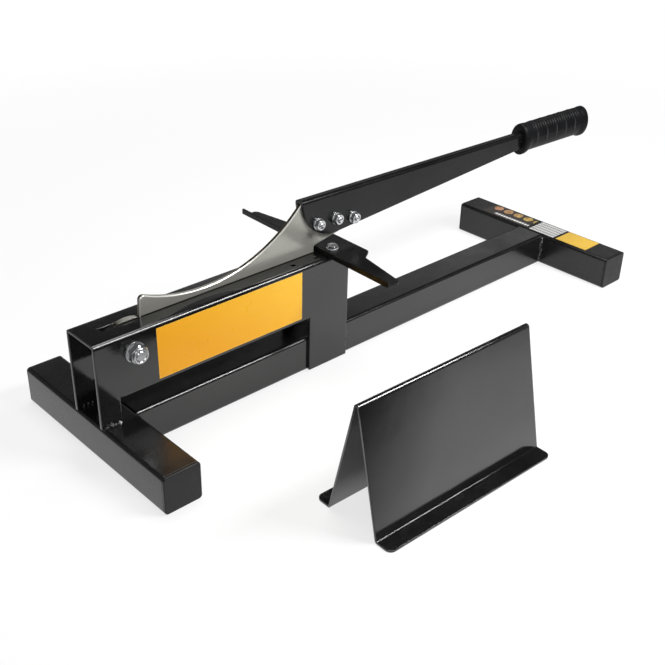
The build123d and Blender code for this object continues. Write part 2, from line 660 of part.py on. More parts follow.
def main():
    """Write every piece of the cutter."""
    os.makedirs("parts", exist_ok=True)
    for end, x in (("front", TUBE_SIZE / 2), ("rear", FRAME_LENGTH - TUBE_SIZE / 2)):
        save(f"{end}_foot", foot(x))
        save(f"{end}_foot_cap_near", end_cap(x, 0))
        save(f"{end}_foot_cap_far", end_cap(x, 180))
    save("main_beam", main_beam())
    save("blade_housing", blade_housing())
    save("pivot_bolt", pivot_bolt())
    save("pivot_nut", pivot_nut())
    save("pivot_washers", pivot_washers())
    save("pivot_spacers", pivot_spacers())
    save("blade", blade())
    save("handle_arm", handle_arm())
    save("handle_grip", handle_grip())
    save("handle_bolts", handle_bolts())
    save("handle_washers", handle_washers())
    save("handle_nuts", handle_nuts())
    save("fence", fence())
    save("fence_bolt", fence_bolt())
    save("fence_washer", fence_washer())
    save("fence_nut", fence_nut())
    save("support_stand", support_stand())
    save("housing_label", housing_label())
    save("rear_foot_stickers", rear_foot_stickers())


main()
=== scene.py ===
"""Looks of a laminate flooring cutter: finishes, weld beads, threads and grip on the CAD frame.

Lengths are in metres. X runs from the blade's pivot to the grip, Y away from the labelled side
and Z up.
"""

from __future__ import annotations

import logging
import math
from abc import ABC, abstractmethod
from dataclasses import dataclass
from enum import Enum
from functools import partialmethod
from typing import Any

import bpy
import numpy as np
from mathutils import Matrix, Vector

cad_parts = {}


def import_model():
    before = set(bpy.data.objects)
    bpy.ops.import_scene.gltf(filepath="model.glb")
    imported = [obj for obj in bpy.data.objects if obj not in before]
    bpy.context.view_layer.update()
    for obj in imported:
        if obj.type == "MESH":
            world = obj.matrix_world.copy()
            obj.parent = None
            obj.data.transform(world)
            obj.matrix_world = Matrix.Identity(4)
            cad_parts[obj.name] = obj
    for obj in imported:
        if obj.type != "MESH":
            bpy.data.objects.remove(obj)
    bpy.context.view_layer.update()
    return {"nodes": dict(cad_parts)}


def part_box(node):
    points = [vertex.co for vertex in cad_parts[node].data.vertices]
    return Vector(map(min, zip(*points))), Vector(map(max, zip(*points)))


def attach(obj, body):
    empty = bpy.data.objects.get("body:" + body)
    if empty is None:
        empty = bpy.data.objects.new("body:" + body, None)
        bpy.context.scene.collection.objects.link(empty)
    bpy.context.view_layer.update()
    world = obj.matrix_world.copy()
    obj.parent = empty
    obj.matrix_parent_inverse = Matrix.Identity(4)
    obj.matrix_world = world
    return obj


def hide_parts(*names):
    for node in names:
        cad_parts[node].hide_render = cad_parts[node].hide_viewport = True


LOG = logging.getLogger("flooring_cutter")
# Point attribute that holds the share of the painted highlight on the grip's ribs.
RIB_HIGHLIGHT = "rib_highlight"
SIDES = ((-1.0, "near"), (1.0, "far"))
BEAM_SIDE = 0.019
BEAD_LOW = 0.003
BEAD_HIGH = 0.0355

Socket = bpy.types.NodeSocket
Number = Socket | float
Material = bpy.types.Material
Nodes = dict[str, bpy.types.Object]
Colour = tuple[float, float, float]
Point = tuple[float, float, float]
Ramp = tuple[float, float, float, float]


class Body(Enum):
    """Moving bodies of the cutter that the new pieces ride on."""

    FRAME = "frame"
    ARM = "arm"


class Slot(Enum):
    """Material slots of the record that a new piece takes its finish from."""

    PAINT = "black_paint"
    ZINC = "zinc"
    RUBBER = "grip_rubber"


class Weld(Enum):
    """Kinds of weld bead, each with its size, ripple, swell and wander."""

    FOOT = (0.0028, 0.0036, 0.40, 0.0007)
    FRONT_LEG = (0.0036, 0.0042, 0.34, 0.0007)
    REAR_LEG = (0.0022, 0.0031, 0.45, 0.0006)


class Axis(Enum):
    """Direction in which a finish is drawn out, as stretching factors for its pattern."""

    ALONG_X = (0.03, 1.0, 1.0)
    ALONG_Y = (1.0, 0.03, 1.0)
    EVEN = (1.0, 1.0, 1.0)


class NodeKit:
    """Node tree with short calls for the nodes that finishes and backdrop share.

    A mix node has several sockets of one name, so its colour sockets are taken by number. Plus,
    minus, times, larger and smaller are calculate with the operation filled in.
    """

    MIX_FIRST = 6
    MIX_SECOND = 7
    MIX_RESULT = 2

    def __init__(self, tree: bpy.types.NodeTree) -> None:
        """Clear a tree to build in."""
        self.tree = tree
        self.tree.nodes.clear()

    def add(self, kind: str) -> bpy.types.Node:
        """New shader node of a kind."""
        return self.tree.nodes.new(f"ShaderNode{kind}")

    def link(self, source: Socket, target: Socket) -> None:
        """Link an output to an input."""
        self.tree.links.new(source, target)

    def put(self, target: Socket, value: Number | Colour) -> None:
        """Link a socket, or write a plain number or colour into it.

        Args:
            target: Input to fill.
            value: Socket to link, number or colour.
        """
        if isinstance(value, Socket):
            self.link(value, target)
        elif isinstance(value, tuple) and len(target.default_value) == 4:
            target.default_value = (*value, 1.0)
        else:
            target.default_value = value

    def span(
        self,
        value: Socket,
        low: float,
        high: float,
        start: float = 0.0,
        end: float = 1.0,
        smooth: bool = False,
    ) -> Socket:
        """Carry a value from one range to another, held at both ends.

        Args:
            value: Value to carry.
            low: Value that becomes start.
            high: Value that becomes end.
            start: First result.
            end: Last result.
            smooth: Whether the change eases in and out.

        Returns:
            The carried value.
        """
        node = self.add("MapRange")
        node.interpolation_type = "SMOOTHSTEP" if smooth else "LINEAR"
        node.inputs["From Min"].default_value = low
        node.inputs["From Max"].default_value = high
        node.inputs["To Min"].default_value = start
        node.inputs["To Max"].default_value = end
        self.link(value, node.inputs["Value"])
        return node.outputs["Result"]

    def calculate(self, operation: str, first: Number, second: Number = 0.0) -> Socket:
        """One step of arithmetic.

        Args:
            operation: Name of Blender's operation.
            first: First value.
            second: Second value, which a step with one value leaves unused.

        Returns:
            The result.
        """
        node = self.add("Math")
        node.operation = operation
        self.put(node.inputs[0], first)
        self.put(node.inputs[1], second)
        return node.outputs[0]

    plus = partialmethod(calculate, "ADD")
    minus = partialmethod(calculate, "SUBTRACT")
    times = partialmethod(calculate, "MULTIPLY")
    larger = partialmethod(calculate, "MAXIMUM")
    smaller = partialmethod(calculate, "MINIMUM")

    def split(self, vector: Socket, part: str) -> Socket:
        """One part of a vector.

        Args:
            vector: Vector to split.
            part: X, Y or Z.

        Returns:
            That part.
        """
        node = self.add("SeparateXYZ")
        self.link(vector, node.inputs["Vector"])
        return node.outputs[part]

    def blend(self, share: Socket, first: Socket | Colour, second: Socket | Colour) -> Socket:
        """Mix two colours.

        Args:
            share: Share of the second colour.
            first: Colour at a share of 0.
            second: Colour at a share of 1.

        Returns:
            The mixed colour.
        """
        node = self.add("Mix")
        node.data_type = "RGBA"
        self.link(share, node.inputs["Factor"])
        self.put(node.inputs[self.MIX_FIRST], first)
        self.put(node.inputs[self.MIX_SECOND], second)
        return node.outputs[self.MIX_RESULT]

    def blend_shaders(self, share: Socket, first: Socket, second: Socket) -> Socket:
        """Mix two shaders, as blend does two colours.

        Args:
            share: Share of the second shader.
            first: Shader at a share of 0.
            second: Shader at a share of 1.

        Returns:
            The mixed shader.
        """
        node = self.add("MixShader")
        for number, source in enumerate((share, first, second)):
            self.link(source, node.inputs[number])
        return node.outputs[0]


class Graph(NodeKit):
    """Node tree of one material."""

    BEVEL_SAMPLES = 4
    EDGE_TURN = (0.02, 0.22)
    LEVEL_RISE = (0.5, 0.95)

    def __init__(self, name: str) -> None:
        """Start a material whose principled shader feeds the surface.

        Args:
            name: Name of the material.
        """
        self.material = bpy.data.materials.new(name)
        self.material.use_nodes = True
        super().__init__(self.material.node_tree)
        self.shader = self.add("BsdfPrincipled")
        self.output = self.add("OutputMaterial")
        self.link(self.shader.outputs["BSDF"], self.output.inputs["Surface"])
        self.place = self.add("TexCoord").outputs["Object"]

    def constant(self, **values: Any) -> None:
        """Set sockets of the shader that are the same all over the surface.

        Args:
            values: Socket names with underscores for spaces, and their values.
        """
        for name, value in values.items():
            self.shader.inputs[name.replace("_", " ")].default_value = value

    def feed(self, name: str, value: Socket) -> None:
        """Link a varying value into one of the shader's sockets."""
        self.link(value, self.shader.inputs[name])

    def noise(
        self, scale: float, detail: float = 3.0, axis: Axis = Axis.EVEN, shift: float = 0.0
    ) -> Socket:
        """Cloudy noise on object coordinates.

        Args:
            scale: Cells per metre.
            detail: Octaves of finer noise.
            axis: Direction in which the pattern is drawn out.
            shift: Distance by which the pattern is moved, so that two patterns differ.

        Returns:
            Value from 0 to 1, around 0.5.
        """
        mapping = self.add("Mapping")
        mapping.inputs["Scale"].default_value = axis.value
        mapping.inputs["Location"].default_value = (shift, shift, shift)
        self.link(self.place, mapping.inputs["Vector"])
        node = self.add("TexNoise")
        node.inputs["Scale"].default_value = scale
        node.inputs["Detail"].default_value = detail
        self.link(mapping.outputs["Vector"], node.inputs["Vector"])
        return node.outputs["Fac"]

    def rounded(self, radius: float) -> Socket:
        """Normal that rounds sharp edges.

        Args:
            radius: Radius of the rounding.

        Returns:
            The rounded normal.
        """
        node = self.add("Bevel")
        node.samples = self.BEVEL_SAMPLES
        node.inputs["Radius"].default_value = radius
        return node.outputs["Normal"]

    def edges(self, radius: float) -> Socket:
        """Mask of the sharp edges: one less the dot product of the rounded and the true normal.

        Args:
            radius: Reach of the mask on each side of an edge.

        Returns:
            Value that is 0 on flat faces and rises towards an edge.
        """
        dot = self.add("VectorMath")
        dot.operation = "DOT_PRODUCT"
        self.link(self.rounded(radius), dot.inputs[0])
        self.link(self.add("NewGeometry").outputs["Normal"], dot.inputs[1])
        return self.span(self.minus(1.0, dot.outputs["Value"]), *self.EDGE_TURN)

    def upward(self) -> Socket:
        """Share of the surface that looks up, where dust settles."""
        true = self.add("NewGeometry").outputs["Normal"]
        return self.span(self.split(true, "Z"), *self.LEVEL_RISE)

    def bump(
        self, height: Socket, depth: float, strength: float, normal: Socket | None = None
    ) -> Socket:
        """Normal disturbed by a height.

        Args:
            height: Height from 0 to 1.
            depth: Distance in metres for a height of 1.
            strength: Share of the effect.
            normal: Normal to start from, or none for the surface's own.

        Returns:
            The disturbed normal.
        """
        node = self.add("Bump")
        node.inputs["Distance"].default_value = depth
        node.inputs["Strength"].default_value = strength
        self.link(height, node.inputs["Height"])
        if normal is not None:
            self.link(normal, node.inputs["Normal"])
        return node.outputs["Normal"]


@dataclass(frozen=True)
class GlossPaint:
    """Stoved black paint: a mirror-like skin with faint orange peel, dust and thin worn edges."""

    name: str
    gloss: float
    dull: float
    peel: float = 0.10
    peel_depth: float = 0.0004
    specular: float = 0.65
    edge_round: float = 0.0012
    edge_reach: float = 0.0007
    grain: float = 620.0
    ior: float = 1.5
    wave: float = 0.08
    wave_depth: float = 0.001
    dust_dulling: float = 0.3
    colour: Colour = (0.005, 0.005, 0.005)
    haze: Colour = (0.0075, 0.0075, 0.0075)
    dust: Colour = (0.03, 0.03, 0.029)
    worn: Colour = (0.05, 0.05, 0.049)

    def make(self) -> Material:
        """Build the finish.

        Returns:
            The new material.
        """
        graph = Graph(self.name)
        graph.constant(Specular_IOR_Level=self.specular, IOR=self.ior)
        peel = graph.noise(self.grain, 2.0)
        clouds = graph.noise(14.0, 5.0, shift=3.1)
        specks = graph.span(graph.noise(850.0, 6.0, shift=1.7), 0.66, 0.74)
        settled = graph.times(graph.upward(), graph.span(clouds, 0.4, 0.75, 0.05, 0.55))
        dusty = graph.times(specks, settled)
        chips = graph.span(graph.noise(160.0, 6.0, shift=5.3), 0.42, 0.68)
        wear = graph.times(graph.edges(self.edge_reach), chips)
        smudged = graph.span(graph.noise(38.0, 4.0, shift=6.1), 0.34, 0.58)
        colour = graph.blend(dusty, graph.blend(smudged, self.colour, self.haze), self.dust)
        graph.feed("Base Color", graph.blend(wear, colour, self.worn))
        rubbed = graph.span(graph.noise(95.0, 4.0, shift=2.2), 0.35, 0.8, 0.0, 0.05)
        smooth = graph.plus(graph.span(clouds, 0.3, 0.75, self.gloss, self.dull), rubbed)
        graph.feed("Roughness", graph.plus(smooth, graph.times(dusty, self.dust_dulling)))
        waves = graph.noise(32.0, 2.0, shift=8.7)
        sheet = graph.bump(waves, self.wave_depth, self.wave, graph.rounded(self.edge_round))
        graph.feed("Normal", graph.bump(peel, self.peel_depth, self.peel, sheet))
        return graph.material


class Coat(Enum):
    """Coats of the black paint, from the mirror of the housing to the soft sheen of the fence."""

    TUBE = GlossPaint("tube_black_paint", gloss=0.13, dull=0.23)
    FOOT = GlossPaint("foot_black_paint", gloss=0.20, dull=0.27, peel=0.14, specular=0.5)
    HOUSING = GlossPaint(
        "housing_black_paint", gloss=0.05, dull=0.10, peel=0.06, edge_round=0.0014
    )
    LEVER = GlossPaint("lever_black_paint", gloss=0.12, dull=0.20, specular=0.31)
    FENCE = GlossPaint("fence_black_paint", gloss=0.20, dull=0.28, specular=0.14)
    STAND = GlossPaint(
        "stand_black_paint",
        gloss=0.06,
        dull=0.10,
        peel=0.06,
        specular=1.0,
        grain=1500.0,
        ior=1.55,
        wave=0.18,
    )


@dataclass(frozen=True)
class BrushedSteel:
    """Ground blade steel: fine lines, soft stains, a painted dark brown back, painted highlights on
    the corners and a painted shade line at the slot.

    The back is told from the sides by the normal and painted dark where it faces forward, as a
    painted reflection of the dark surroundings it mirrors. The corners with the painted highlight
    lie between the two. The painted shade is a dark line where the closed blade meets the table, in
    place of the shade in the slot.
    """

    name: str = "ground_blade_steel"
    light: Colour = (0.415, 0.411, 0.372)
    dark: Colour = (0.365, 0.362, 0.326)
    stain: Colour = (0.270, 0.264, 0.232)
    # Colour of the painted highlight on the chamfered corners and edges.
    edge: Colour = (0.66, 0.65, 0.61)
    # Colour of the painted dark back, a painted reflection.
    back: Colour = (0.060, 0.052, 0.036)
    # Colour of the painted shade line at the slot.
    slot_shade: Colour = (0.020, 0.019, 0.017)
    table_level: float = 0.1215
    # Heights of the painted slot shade's top above and bottom below the table's level.
    slot_shade_height: float = 0.0010
    slot_shade_depth: float = 0.0020
    edge_reach: float = 0.0008
    edge_round: float = 0.0004
    line_depth: float = 0.0001

    def make(self) -> Material:
        """Build the finish.

        Returns:
            The new material.
        """
        graph = Graph(self.name)
        graph.constant(Metallic=0.40, Specular_IOR_Level=0.2)
        facing = graph.add("TexCoord").outputs["Normal"]
        sideways = graph.calculate("ABSOLUTE", graph.split(facing, "Y"))
        forward = graph.split(facing, "X")
        # Painted reflection: the back is coloured dark where it faces forward, in place of the dark
        # surroundings it mirrors; faces straight forward or turned away get less of it.
        painted_dark_back = graph.span(sideways, 0.2, 0.5, 1.0, 0.0)
        painted_dark_back = graph.times(painted_dark_back, graph.span(forward, -0.30, -0.05, 1.0, 0.2))
        painted_dark_back = graph.times(painted_dark_back, graph.span(forward, -0.95, -0.85, 0.3, 1.0))
        # Painted highlight: mask of the chamfered corners between the back and the sides, which are
        # coloured bright.
        off_back = graph.span(sideways, 0.45, 0.6)
        ground = graph.times(off_back, graph.span(sideways, 0.8, 0.95, 1.0, 0.0))
        # Painted shade: a dark line on the closed blade round the table's level, in place of the
        # shade in the slot.
        rise = graph.minus(graph.split(graph.place, "Z"), self.table_level)
        below = graph.span(rise, 0.6 * self.slot_shade_height, self.slot_shade_height, 1.0, 0.0)
        above = graph.span(rise, -2.0 * self.slot_shade_depth, -self.slot_shade_depth)
        rubbed = graph.times(below, above)
        lines = graph.noise(1500.0, 4.0, Axis.ALONG_X)
        broad = graph.noise(180.0, 3.0, Axis.ALONG_X, shift=0.7)
        clouds = graph.noise(22.0, 5.0, shift=2.4)
        grain = graph.plus(graph.times(lines, 0.6), graph.times(broad, 0.4))
        colour = graph.blend(graph.span(grain, 0.35, 0.65), self.dark, self.light)
        stained = graph.span(clouds, 0.60, 0.85, 0.0, 0.55)
        face = graph.blend(painted_dark_back, graph.blend(stained, colour, self.stain), self.back)
        # Painted slot shade laid over the steel.
        face = graph.blend(rubbed, face, self.slot_shade)
        # Painted highlight: the corners, and a little of every sharp edge, take the bright edge
        # colour.
        painted_highlight = graph.larger(ground, graph.times(graph.edges(self.edge_reach), 0.25))
        graph.feed("Base Color", graph.blend(painted_highlight, face, self.edge))
        rough = graph.span(grain, 0.3, 0.7, 0.20, 0.25)
        graph.feed("Roughness", graph.plus(rough, graph.times(stained, 0.06)))
        edge = graph.rounded(self.edge_round)
        graph.feed("Normal", graph.bump(lines, self.line_depth, 0.02, edge))
        return graph.material


@dataclass(frozen=True)
class ZincPlate:
    """Bright zinc plating with cloudy passivation and rubbed edges."""

    name: str = "bright_zinc_plate"
    light: Colour = (0.66, 0.67, 0.68)
    cloud: Colour = (0.52, 0.535, 0.55)
    rubbed: Colour = (0.78, 0.78, 0.77)
    edge_reach: float = 0.0004
    edge_round: float = 0.00025
    grain_depth: float = 0.00008

    def make(self) -> Material:
        """Build the finish.

        Returns:
            The new material.
        """
        graph = Graph(self.name)
        graph.constant(Metallic=0.9)
        clouds = graph.noise(240.0, 5.0)
        turned = graph.noise(2400.0, 2.0, Axis.ALONG_Y, shift=1.1)
        colour = graph.blend(graph.span(clouds, 0.35, 0.7), self.light, self.cloud)
        graph.feed("Base Color", graph.blend(graph.edges(self.edge_reach), colour, self.rubbed))
        graph.feed("Roughness", graph.span(clouds, 0.3, 0.75, 0.14, 0.24))
        edge = graph.rounded(self.edge_round)
        graph.feed("Normal", graph.bump(turned, self.grain_depth, 0.15, edge))
        return graph.material


@dataclass(frozen=True)
class CapPlastic:
    """Black moulded plastic with a fine spark-eroded grain and a few scuffs."""

    name: str = "moulded_cap_plastic"
    colour: Colour = (0.007, 0.007, 0.007)
    scuff: Colour = (0.045, 0.045, 0.044)
    edge_reach: float = 0.0008
    edge_round: float = 0.0005
    grain_depth: float = 0.00015

    def make(self) -> Material:
        """Build the finish.

        Returns:
            The new material.
        """
        graph = Graph(self.name)
        graph.constant(Specular_IOR_Level=0.30)
        grain = graph.noise(2600.0, 3.0)
        scuffs = graph.span(graph.noise(130.0, 7.0, shift=4.4), 0.58, 0.72, 0.0, 0.5)
        wear = graph.times(graph.larger(scuffs, graph.edges(self.edge_reach)), 0.5)
        graph.feed("Base Color", graph.blend(wear, self.colour, self.scuff))
        graph.feed("Roughness", graph.span(graph.noise(60.0, 4.0), 0.3, 0.7, 0.22, 0.4))
        edge = graph.rounded(self.edge_round)
        graph.feed("Normal", graph.bump(grain, self.grain_depth, 0.12, edge))
        return graph.material


@dataclass(frozen=True)
class GripRubber:
    """Soft black rubber with a dry bloom, painted highlights on the ribs at its sides and a matt
    moulded skin.
    """

    name: str = "moulded_grip_rubber"
    colour: Colour = (0.0035, 0.0036, 0.0042)
    bloom: Colour = (0.010, 0.0104, 0.0115)
    # Colour of the painted highlight on the ribs.
    crest: Colour = (0.026, 0.0265, 0.028)
    edge_reach: float = 0.0007
    grain_depth: float = 0.0002

    def make(self) -> Material:
        """Build the finish.

        Returns:
            The new material.
        """
        graph = Graph(self.name)
        graph.constant(Specular_IOR_Level=0.16)
        grain = graph.noise(1800.0, 4.0)
        # Painted highlight: the ribs are coloured paler by the share stored on their points, most
        # at the grip's sides.
        ribs = graph.add("Attribute")
        ribs.attribute_name = RIB_HIGHLIGHT
        painted_rib_highlight = graph.span(ribs.outputs["Fac"], 0.3, 0.9)
        bloom = graph.span(graph.noise(70.0, 5.0, shift=1.9), 0.45, 0.8, 0.0, 0.5)
        rubbed = graph.larger(bloom, graph.times(graph.edges(self.edge_reach), 0.6))
        skin = graph.blend(rubbed, self.colour, self.bloom)
        graph.feed("Base Color", graph.blend(painted_rib_highlight, skin, self.crest))
        graph.feed("Roughness", graph.span(graph.noise(45.0, 4.0), 0.3, 0.7, 0.40, 0.50))
        graph.feed("Normal", graph.bump(grain, self.grain_depth, 0.10))
        return graph.material


@dataclass(frozen=True)
class LabelFilm:
    """Amber film under a clear skin, with painted light that makes it lighter towards its top and
    right, and a rubbed rim.
    """

    low: float
    high: float
    left: float
    right: float
    name: str = "amber_label_film"
    deep: Colour = (0.86, 0.375, 0.006)
    light: Colour = (0.97, 0.53, 0.03)
    rim: Colour = (0.95, 0.62, 0.14)
    edge_reach: float = 0.0009
    grain_depth: float = 0.0003

    def make(self) -> Material:
        """Build the finish.

        Returns:
            The new material.
        """
        graph = Graph(self.name)
        graph.constant(Specular_IOR_Level=0.3)
        # Painted light: the colour is made lighter towards the film's top and right, where more
        # light falls.
        height = graph.span(graph.split(graph.place, "Z"), self.low, self.high)
        print_dots = graph.span(graph.noise(2200.0, 2.0), 0.35, 0.65, -0.06, 0.06)
        side = graph.span(graph.split(graph.place, "X"), self.left, self.right, -0.5, 0.6)
        painted_light_tone = graph.plus(graph.plus(graph.times(height, 0.6), side), print_dots)
        colour = graph.blend(graph.span(painted_light_tone, 0.0, 1.0), self.deep, self.light)
        graph.feed("Base Color", graph.blend(graph.edges(self.edge_reach), colour, self.rim))
        graph.feed("Roughness", graph.span(graph.noise(70.0, 5.0), 0.3, 0.75, 0.26, 0.42))
        grain = graph.noise(120.0, 3.0, shift=2.0)
        graph.feed("Normal", graph.bump(grain, self.grain_depth, 0.10))
        return graph.material


@dataclass(frozen=True)
class StickerFilm:
    """Stickers in plain blocks of colour, told apart by their place across the foot.

    Stripes are given by their pitch and the share of it that is gap.
    """

    near_end: float
    middle_end: float
    front: float
    name: str = "printed_sticker_film"
    yellow: Colour = (0.68, 0.43, 0.06)
    white: Colour = (0.64, 0.64, 0.63)
    grey: Colour = (0.10, 0.10, 0.10)
    ground: Colour = (0.035, 0.03, 0.027)
    rose: Colour = (0.50, 0.24, 0.15)
    straw: Colour = (0.52, 0.38, 0.11)
    brown: Colour = (0.22, 0.13, 0.05)
    border: float = 0.0005
    stripe_fade: float = 0.05
    disc_line: float = 0.0238
    disc_pitch: float = 0.0158
    disc_radius: float = 0.0066
    disc_rim: float = 0.0006
    disc_row_end: float = 0.0785
    straw_end: float = 0.02
    rose_start: float = 0.07
    bar_front: float = 0.3055
    bar_back: float = 0.3105
    bar_end: float = 0.0645
    bar_stripes: tuple[float, float] = (0.0042, 0.2)
    row_stripes: tuple[float, float] = (0.0062, 0.46)
    block_stripes: tuple[float, float] = (0.0029, 0.30)
    grain_depth: float = 0.0002

    def stripes(self, graph: Graph, value: Socket, pitch: float, gap: float) -> Socket:
        """Mask of even stripes.

        Args:
            graph: Material to add to.
            value: Distance across the stripes.
            pitch: Distance from stripe to stripe.
            gap: Share of each pitch that is free of the stripe.

        Returns:
            One on a stripe and nought between stripes.
        """
        turns = graph.calculate("DIVIDE", value, pitch)
        edge = 0.5 * gap
        return graph.span(graph.calculate("PINGPONG", turns, 0.5), edge, edge + self.stripe_fade)

    def discs(self, graph: Graph, along: Socket, across: Socket) -> Socket:
        """Mask of a row of round spots: the distance from the nearest middle, held to a radius.

        Args:
            graph: Material to add to.
            along: Place along the frame.
            across: Place along the row.

        Returns:
            One on a spot and nought outside.
        """
        turns = graph.calculate("DIVIDE", graph.minus(across, self.disc_radius), self.disc_pitch)
        beside = graph.times(graph.calculate("PINGPONG", turns, 0.5), self.disc_pitch)
        behind = graph.minus(along, self.front + self.disc_line)
        square = graph.plus(graph.times(beside, beside), graph.times(behind, behind))
        distance = graph.calculate("POWER", square, 0.5)
        inside = graph.span(distance, self.disc_radius, self.disc_radius - self.disc_rim)
        row_end = graph.span(across, self.disc_row_end, self.disc_row_end - self.border)
        return graph.times(inside, row_end)

    def make(self) -> Material:
        """Build the finish.

        Returns:
            The new material.
        """
        graph = Graph(self.name)
        graph.constant(Specular_IOR_Level=0.45)
        across = graph.split(graph.place, "Y")
        along = graph.split(graph.place, "X")
        tint = graph.span(across, self.straw_end, self.rose_start)
        spots = graph.blend(tint, self.straw, self.rose)
        shaded = graph.blend(graph.span(graph.noise(260.0, 3.0), 0.4, 0.65), spots, self.brown)
        strip = graph.blend(self.discs(graph, along, across), self.ground, shaded)
        bar = self.stripes(graph, across, *self.bar_stripes)
        bar = graph.times(bar, graph.span(along, self.bar_front, self.bar_front + self.border))
        bar = graph.times(bar, graph.span(along, self.bar_back, self.bar_back - self.border))
        bar = graph.times(bar, graph.span(across, self.bar_end, self.bar_end - self.border))
        strip = graph.blend(bar, strip, self.white)
        rows = self.stripes(graph, along, *self.row_stripes)
        blocks = self.stripes(graph, across, *self.block_stripes)
        printed = graph.blend(graph.times(rows, blocks), self.white, self.grey)
        past_near = graph.span(across, self.near_end, self.near_end + self.border)
        past_middle = graph.span(across, self.middle_end, self.middle_end + self.border)
        colour = graph.blend(past_near, self.yellow, printed)
        colour = graph.blend(past_middle, colour, strip)
        specks = graph.span(graph.noise(900.0, 3.0), 0.3, 0.7, 0.0, 0.16)
        graph.feed("Base Color", graph.blend(specks, colour, self.ground))
        gloss = graph.noise(80.0, 4.0, shift=1.0)
        graph.feed("Roughness", graph.span(gloss, 0.3, 0.7, 0.28, 0.42))
        grain = graph.noise(400.0, 3.0, shift=3.0)
        graph.feed("Normal", graph.bump(grain, self.grain_depth, 0.12))
        return graph.material


def closed_tube(
    name: str, rings: np.ndarray, first: np.ndarray, last: np.ndarray
) -> bpy.types.Object:
    """Mesh of rings joined by quads, with each open end drawn together in one point.

    The corners of a quad are ring i and i+1 at places j and j+1, where j+1 wraps round the ring.

    Args:
        name: Name of the piece.
        rings: Points, ring by ring, as an array of rings by places by three.
        first: Point that closes the first ring.
        last: Point that closes the last ring.

    Returns:
        The piece, with smooth shading and its normals outward.
    """
    count, places, _ = rings.shape
    index = np.arange(count * places).reshape(count, places)
    after = np.roll(index, -1, axis=1)
    quads = np.stack([index[:-1], after[:-1], after[1:], index[1:]], axis=-1).reshape(-1, 4)
    start = np.full(places, count * places)
    front = np.stack([start, after[0], index[0]], axis=-1)
    back = np.stack([start + 1, index[-1], after[-1]], axis=-1)
    points = np.concatenate([rings.reshape(-1, 3), first[None], last[None]])
    mesh = bpy.data.meshes.new(name)
    mesh.from_pydata(points.tolist(), [], quads.tolist() + front.tolist() + back.tolist())
    mesh.polygons.foreach_set("use_smooth", np.ones(len(mesh.polygons), dtype=bool))
    mesh.update()
    piece = bpy.data.objects.new(name, mesh)
    bpy.context.scene.collection.objects.link(piece)
    return piece


def place_piece(piece: bpy.types.Object, material: Material, body: Body) -> None:
    """Dress a new piece, set it on its body and report it.

    Args:
        piece: Piece to place.
        material: Finish of the piece.
        body: Body that it rides on.
    """
    piece.data.materials.append(material)
    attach(piece, body.value)
    LOG.info("%s: %d faces on %s", piece.name, len(piece.data.polygons), body.value)


@dataclass(frozen=True)
class WeldBead:
    """Run of weld along an inside corner, ripple by ripple."""

    name: str
    start: Point
    end: Point
    outward: Point
    size: float
    ripple: float
    swell: float
    wander: float
    lump: float = 0.15
    lead: float = 0.9
    taper: float = 1.6
    flatness: float = 0.85
    end_gap: float = 0.004
    step: float = 0.00022
    places: int = 28
    phase_rate: float = 900.0
    sway_rate: float = 410.0
    lump_rates: tuple[float, float] = (730.0, 1130.0)

    def build(self, material: Material) -> None:
        """Build the bead and set it on the frame.

        A ring of radius size stands across the line from start to end. Its radius shrinks to
        nothing over the last ripples at each end, and swells in crescents: the ripples' phase
        along the line runs ahead in the middle of the bead, by the square of the ring's outward
        cosine. Two slow sines make it lumpy, and a third sways the ring's centre.

        Args:
            material: Finish of the bead.
        """
        start, end = np.array(self.start), np.array(self.end)
        length = float(np.linalg.norm(end - start))
        along = (end - start) / length
        out = np.array(self.outward) / np.linalg.norm(self.outward)
        side = np.cross(along, out)
        share = np.linspace(self.end_gap, 1.0 - self.end_gap, int(length / self.step))[:, None]
        angle = np.linspace(0.0, 2.0 * np.pi, self.places, endpoint=False)[None, :]
        travel = share * length
        lead = self.lead * self.ripple * np.clip(np.cos(angle), 0.0, 1.0) ** 2
        crescents = np.abs(np.sin(np.pi * (travel - lead) / self.ripple))
        ends = np.clip(np.minimum(travel, length - travel) / (self.taper * self.size), 0.0, 1.0)
        phase = start.sum() * self.phase_rate
        slow, fast = self.lump_rates
        lumps = 1.0 + self.lump * (np.sin(travel * slow + phase) + np.sin(travel * fast - phase))
        ripples = 1.0 - self.swell / 2.0 + self.swell * crescents
        radius = self.size * np.sqrt(1.0 - (1.0 - ends) ** 2) * ripples * lumps
        sway = self.wander * np.sin(travel * self.sway_rate + phase)
        across = (radius * np.sin(angle) + sway)[..., None] * side
        lift = (self.flatness * radius * np.cos(angle))[..., None] * out
        rings = start + travel[..., None] * along + lift + across
        piece = closed_tube(self.name, rings, start, end)
        place_piece(piece, material, Body.FRAME)


def beam_corner(x: float, side: float) -> tuple[Point, Point]:
    """Ends of an upright weld beside the beam.

    Args:
        x: Place along the beam.
        side: Minus one on the near side and one on the far side.

    Returns:
        Low end and high end.
    """
    return (x, side * BEAM_SIDE, BEAD_LOW), (x, side * BEAM_SIDE, BEAD_HIGH)


